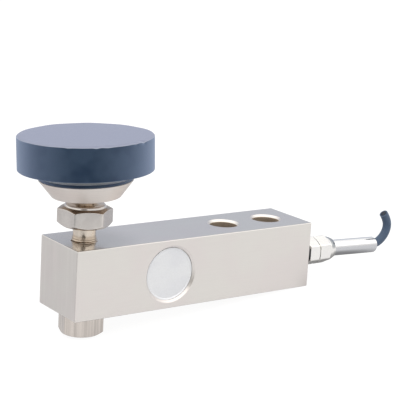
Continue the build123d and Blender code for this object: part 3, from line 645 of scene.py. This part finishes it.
def turned_surface(tree, shader, origin, rotation, scale, strength, depth):
    """Lay turning marks over a grained surface, round an axis through an origin."""
    own_axis = add_node(tree, "Mapping", {
        "Vector": add_node(tree, "TexCoord").outputs["Object"], "Location": origin, "Rotation": rotation,
    }, vector_type="TEXTURE").outputs[0]
    rings = add_node(tree, "Group", {"Vector": own_axis, "Scale": scale, "Strength": strength},
                     node_tree=turned_marks).outputs
    under = shader.inputs["Base Color"].links[0].from_socket
    tree.links.new(scaled(tree, under, rings["Shade"]), shader.inputs["Base Color"])
    relief = add_node(tree, "Bump", {
        "Strength": 1.0, "Distance": depth, "Height": rings["Height"],
        "Normal": shader.inputs["Normal"].links[0].from_socket,
    })
    tree.links.new(relief.outputs[0], shader.inputs["Normal"])


zinc, tree, shader = start_material("zinc_steel", Metallic=1.0)
grained_surface(tree, shader, 0.0000015, {
    "Base": (0.74, 0.705, 0.675, 1.0), "Patch": (0.66, 0.625, 0.60, 1.0), "Patch Scale": 130.0,
    "Grain Scale": 1600.0, "Grain Amount": 0.12, "Roughness": 0.17, "Roughness Spread": 0.12,
})
turned_surface(tree, shader, (stud_x, 0, 0), (0, 0, 0), 2600.0, 0.10, 0.000002)
coordinates = add_node(tree, "TexCoord").outputs
height = part_of(tree, coordinates["Object"], "Z")
upward = part_of(tree, coordinates["Normal"], "Z")
below_hexagon = ramp(tree, height, 0.0386, 0.0382)
above_nut = ramp(tree, height, 0.0, 0.0004)
on_shank = calculate(tree, "MULTIPLY", below_hexagon, above_nut)
# Painted reflection of the beam's top face: the shank darkens and browns towards the beam.
near_beam = ramp(tree, height, 0.0352, 0.0334, soft=True)
tone(tree, shader, on_shank, blend(tree, near_beam, (0.77, 0.69, 0.60, 1.0), (0.54, 0.46, 0.38, 1.0)))
# Painted reflection: the hexagon's upper chamfer turns brown where it faces up towards the dark cup and pad.
sloping_up = ramp(tree, upward, 0.55, 0.80)
below_face = ramp(tree, height, 0.0474, 0.0472)
on_upper_chamfer = calculate(tree, "MULTIPLY", sloping_up, below_face)
tone(tree, shader, on_upper_chamfer, (0.42, 0.33, 0.25, 1.0))
# Painted shade under the cup: the shoulder's top, the neck and the ball turn darker and browner.
on_neck = ramp(tree, height, 0.04834, 0.04838)
tone(tree, shader, on_neck, (0.68, 0.59, 0.50, 1.0))
upright_streaks = (700.0, 700.0, 18.0)
up_nut = add_node(tree, "Mapping", {"Vector": coordinates["Object"], "Scale": upright_streaks}).outputs[0]
streaks = add_node(tree, "TexNoise", {"Vector": up_nut, "Scale": 1.0, "Detail": 2.0, "Roughness": 0.6})
streak_shade = ramp(tree, streaks.outputs[0], 0.35, 0.65, 0.78, 1.02)
on_nut = ramp(tree, height, 0.0, -0.0002)
tone(tree, shader, on_nut, scaled(tree, (0.74, 0.68, 0.635), streak_shade))
stud_flats, stud_turn = 21.6, 37.6
stud_angles = hexagon_angles(stud_turn, 20)
hexagon_low, hexagon_high, hexagon_corner = 38.6, 47.3, stud_flats / np.sqrt(3)
low_face, high_face = 9.92, 9.3
low_rise = (hexagon_corner - low_face) * np.tan(np.radians(34))
high_drop = (hexagon_corner - high_face) * np.tan(np.radians(22))
shank_radius, shoulder_radius, neck_radius, ball_radius = 5.1, 9.14, 4.0, 7.0
shoulder_high, ball_middle = 48.4, 56.6
ball_low = ball_middle - np.sqrt(ball_radius**2 - neck_radius**2)
head_outline = rounded([
    (shank_radius, 34.0, 0), (shank_radius, hexagon_low, 0.25), (low_face, hexagon_low, 0.2),
    (hexagon_corner, hexagon_low + low_rise, 0.3), (hexagon_corner, hexagon_high - high_drop, 0.3),
    (high_face, hexagon_high, 0.06), (shoulder_radius, hexagon_high, 0.06),
    (shoulder_radius, shoulder_high, 0.9), (neck_radius, shoulder_high, 2.2), (neck_radius, ball_low, 0),
    (0, ball_low, 0),
])[4:-5]
head_rows = closer_rows(head_outline, 0.22, ring=False)
ball_angles = np.linspace(np.arcsin(neck_radius / ball_radius), np.pi, 40)[1:]
ball_rows = np.stack([ball_radius * np.sin(ball_angles), ball_middle - ball_radius * np.cos(ball_angles)], -1)
thread_height = np.arange(-9.95, 33.95, 0.14)
thread_pitch, thread_radius, root_radius, thread_depth = 1.75, 6.0, 4.95, 1.05
root_share, flank_share = 0.2, 0.62
thread_rows = np.stack([np.full(len(thread_height), thread_radius), thread_height], -1)
end_rows = np.array([(0.0, -10.0), (2.0, -10.0), (4.3, -10.0)])
stud_grid = hexagon_cut(np.vstack([end_rows, thread_rows, head_rows, ball_rows]), stud_flats, stud_turn,
                        stud_angles)
wave = np.abs(2 * ((thread_height[:, None] / thread_pitch - stud_angles / (2 * np.pi)) % 1) - 1)
ridge = root_radius + thread_depth * np.clip((wave - root_share) / flank_share, 0, 1)
# The thread's crests give way to two turned run-out rings above the beam, and its roots rise to meet them.
outer_limit = np.interp(thread_height, [-9.95, -8.5, 30.2, 31.9, 32.5, 32.75, 33.0, 33.45, 33.7],
                        [4.6, 6.0, 6.0, 5.48, 5.48, 5.15, 5.4, 5.4, 5.1])
inner_limit = np.interp(thread_height, [30.2, 31.9, 32.3], [4.95, 5.15, 5.48])
threaded = slice(len(end_rows), len(end_rows) + len(thread_rows))
stud_grid[threaded, :, 0] = np.clip(ridge, inner_limit[:, None], outer_limit[:, None])
skin("stud", turned(stud_grid, (stud_x, 0, 0), (0, 0, 1), (1, 0, 0), stud_angles),
     zinc, "cell", ["foot_stud"])

# Lock nut: a plain hexagon nut with chamfered corners, tightened on the stud against the mounting face.
# Its flats come from drawn bar, so they carry fine upright streaks.
lock_flats, lock_turn, lock_face = 18.0, 15.5, 8.3
lock_height, lock_bore, lock_mouth = 10.6, 5.48, 6.28
lock_corner = lock_flats / np.sqrt(3)
lock_slope = (lock_corner - lock_face) * np.tan(np.radians(30))
lock_angles = hexagon_angles(lock_turn, 18)
lock_outline = closer_rows(rounded([
    (lock_mouth, -lock_height, 0.1), (lock_face, -lock_height, 0.25),
    (lock_corner, lock_slope - lock_height, 0.3), (lock_corner, -lock_slope, 0.3), (lock_face, 0, 0.25),
    (lock_mouth, 0, 0.1), (lock_bore, -0.8, 0.1), (lock_bore, -9.8, 0.1),
]), 0.25)
lock_grid = hexagon_cut(lock_outline, lock_flats, lock_turn, lock_angles)
skin("lock_nut", turned(lock_grid, (stud_x, 0, 0), (0, 0, 1), (1, 0, 0), lock_angles),
     zinc, "cell", ["stud_lock_nut"], ring=True)

# Foot cup: a satin turned steel cone with the ball socket inside and a flange that carries the pad.
# It leans on the ball as it was left. Below it, the retainer ring and, inside, the ball's liner.
lean_x, lean_y = np.tan(np.radians(-2.35)), np.tan(np.radians(1.6))
foot_up = Vector((lean_x, lean_y, 1)).normalized()
foot_centre = (stud_x, 0, 0.0566)
foot_turn = Vector((0, 0, 1)).rotation_difference(foot_up).to_euler()
satin, tree, shader = start_material("turned_steel", Metallic=0.9)
grained_surface(tree, shader, 0.000001, {
    "Base": (0.76, 0.715, 0.685, 1.0), "Patch": (0.73, 0.67, 0.635, 1.0), "Patch Scale": 70.0,
    "Grain Scale": 1500.0, "Grain Amount": 0.08, "Roughness": 0.42, "Roughness Spread": 0.12,
})
turned_surface(tree, shader, foot_centre, foot_turn, 2200.0, 0.12, 0.000004)
cup_angles = np.linspace(0, 2 * np.pi, 160, endpoint=False)
socket_radius = 8.7
socket_angles = np.linspace(0, np.pi / 2, 14)
socket_rows = socket_radius * np.stack([np.cos(socket_angles), np.sin(socket_angles)], -1)
cup_outside = rounded([
    (0, socket_radius, 0), (socket_radius, 0, 0), (socket_radius, -4.8, 0.2), (15.15, -4.8, 0.55),
    (21.1, 2.95, 0.3), (18.3, 3.0, 0.3), (18.3, 8.7, 0.1), (24.0, 8.7, 0.3), (24.0, 11.7, 0.3), (0, 11.7, 0),
])[10:]
cup_rows = np.vstack([socket_rows[::-1], cup_outside])
skin("cup", turned(cup_rows, foot_centre, foot_up, (1, 0, 0), cup_angles),
     satin, "foot", ["foot_cup"])
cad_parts["ball_retainer"].data.materials[0] = satin
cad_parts["ball_liner"].data.materials[0] = finishes["acetal"]

# Foot pad: moulded rubber, navy; a painted sheen pales it towards its grazing edges and turns the flat that
# stands on the floor a lavender grey, with a painted highlight on its rim and a painted reflection round its
# collar. Its stepped collar grips the cup's flange; the rim is uneven, with one nick and a few dents.
rubber, tree, shader = start_material("pad_rubber", Metallic=0.0, IOR=1.32, Sheen_Weight=0.24,
                                      Sheen_Roughness=0.5, Sheen_Tint=(0.70, 0.80, 1.0, 1.0))
grained_surface(tree, shader, 0.00002, {
    "Base": (0.003, 0.015, 0.038, 1.0), "Patch": (0.016, 0.033, 0.062, 1.0), "Patch Scale": 85.0,
    "Grain Scale": 1100.0, "Grain Amount": 0.18, "Roughness": 0.50, "Roughness Spread": 0.16,
})
coordinates = add_node(tree, "TexCoord").outputs
# Painted sheen: the rubber pales towards its grazing edges.
slant = add_node(tree, "LayerWeight", {"Blend": 0.5}).outputs["Facing"]
painted_sheen = ramp(tree, slant, 0.04, 0.85)
upward = part_of(tree, coordinates["Normal"], "Z")
tone(tree, shader, painted_sheen, (0.128, 0.176, 0.280, 1.0))
# Painted highlight along the rounded rim of the flat.
on_rim = ramp(tree, upward, 0.30, 0.60)
tone(tree, shader, on_rim, (0.24, 0.26, 0.32, 1.0))
# Painted sheen: the flat turns a paler lavender grey.
on_flat = ramp(tree, upward, 0.72, 0.97, soft=True)
tone(tree, shader, on_flat, (0.152, 0.160, 0.220, 1.0))
# Painted reflection: a pale band round the collar, grey in its middle and near white at its grazing edges.
foot_place = add_node(tree, "Mapping", {
    "Vector": coordinates["Object"], "Location": foot_centre, "Rotation": foot_turn,
}, vector_type="TEXTURE").outputs[0]
foot_height = part_of(tree, foot_place, "Z")
above_lip = ramp(tree, foot_height, 0.0042, 0.0044)
below_pad = ramp(tree, foot_height, 0.0068, 0.0066)
on_collar = calculate(tree, "MULTIPLY", above_lip, below_pad)
tone(tree, shader, on_collar, blend(tree, painted_sheen, (0.26, 0.265, 0.27, 1.0), (0.90, 0.95, 1.0, 1.0)))
pad_angles = np.linspace(0, 2 * np.pi, 240, endpoint=False)
pad_outline = closer_rows(rounded([
    (0, 22.3, 0), (29.9, 22.3, 0.45), (29.9, 7.2, 0.4), (20.3, 7.2, 0.5), (20.3, 4.55, 0.1),
    (20.75, 4.25, 0.2), (20.75, 3.0, 0.35), (18.4, 3.0, 0.2), (18.4, 8.6, 0.1), (24.1, 8.6, 0.1),
    (24.1, 11.75, 0.1), (0, 11.75, 0),
], steps=7), 0.6, ring=False)
pad_radius = pad_outline[:, :1] + 0 * pad_angles
pad_height = pad_outline[:, 1:] + 0 * pad_angles
rim_radius, rim_width, rim_height, rim_depth = 27.3, 2.6, 20.6, 1.6
near_edge = np.clip((pad_radius - rim_radius) / rim_width, 0, 1)
near_flat = np.clip((pad_height - rim_height) / rim_depth, 0, 1)
at_rim = near_edge * near_flat
dent_angle, dent_width, dent_depth = np.array([
    (5.15, 0.045, 1.0), (4.97, 0.03, 0.45), (4.50, 0.06, 0.5), (4.33, 0.035, 0.7), (3.93, 0.05, 0.4),
]).T[:, :, None]
dents = (dent_depth * np.exp(-((pad_angles - dent_angle) / dent_width) ** 2)).sum(0)
waviness = 0.07 * np.sin(3 * pad_angles + 0.8) + 0.05 * np.sin(11 * pad_angles)
past_cup = np.clip((pad_radius - 19.0) / 4.0, 0, 1)
side_wear, side_ripple, rim_drop = 0.08, 0.6, 0.12
dent_in, dent_down = 0.4, 0.45
pad_radius = pad_radius - past_cup * (side_wear + side_ripple * waviness) - dent_in * at_rim * dents
pad_height = pad_height - at_rim * (rim_drop + waviness + dent_down * dents)
skin("pad", turned(np.stack([pad_radius, pad_height], -1), foot_centre, foot_up, (1, 0, 0), pad_angles),
     rubber, "foot", ["foot_pad"])
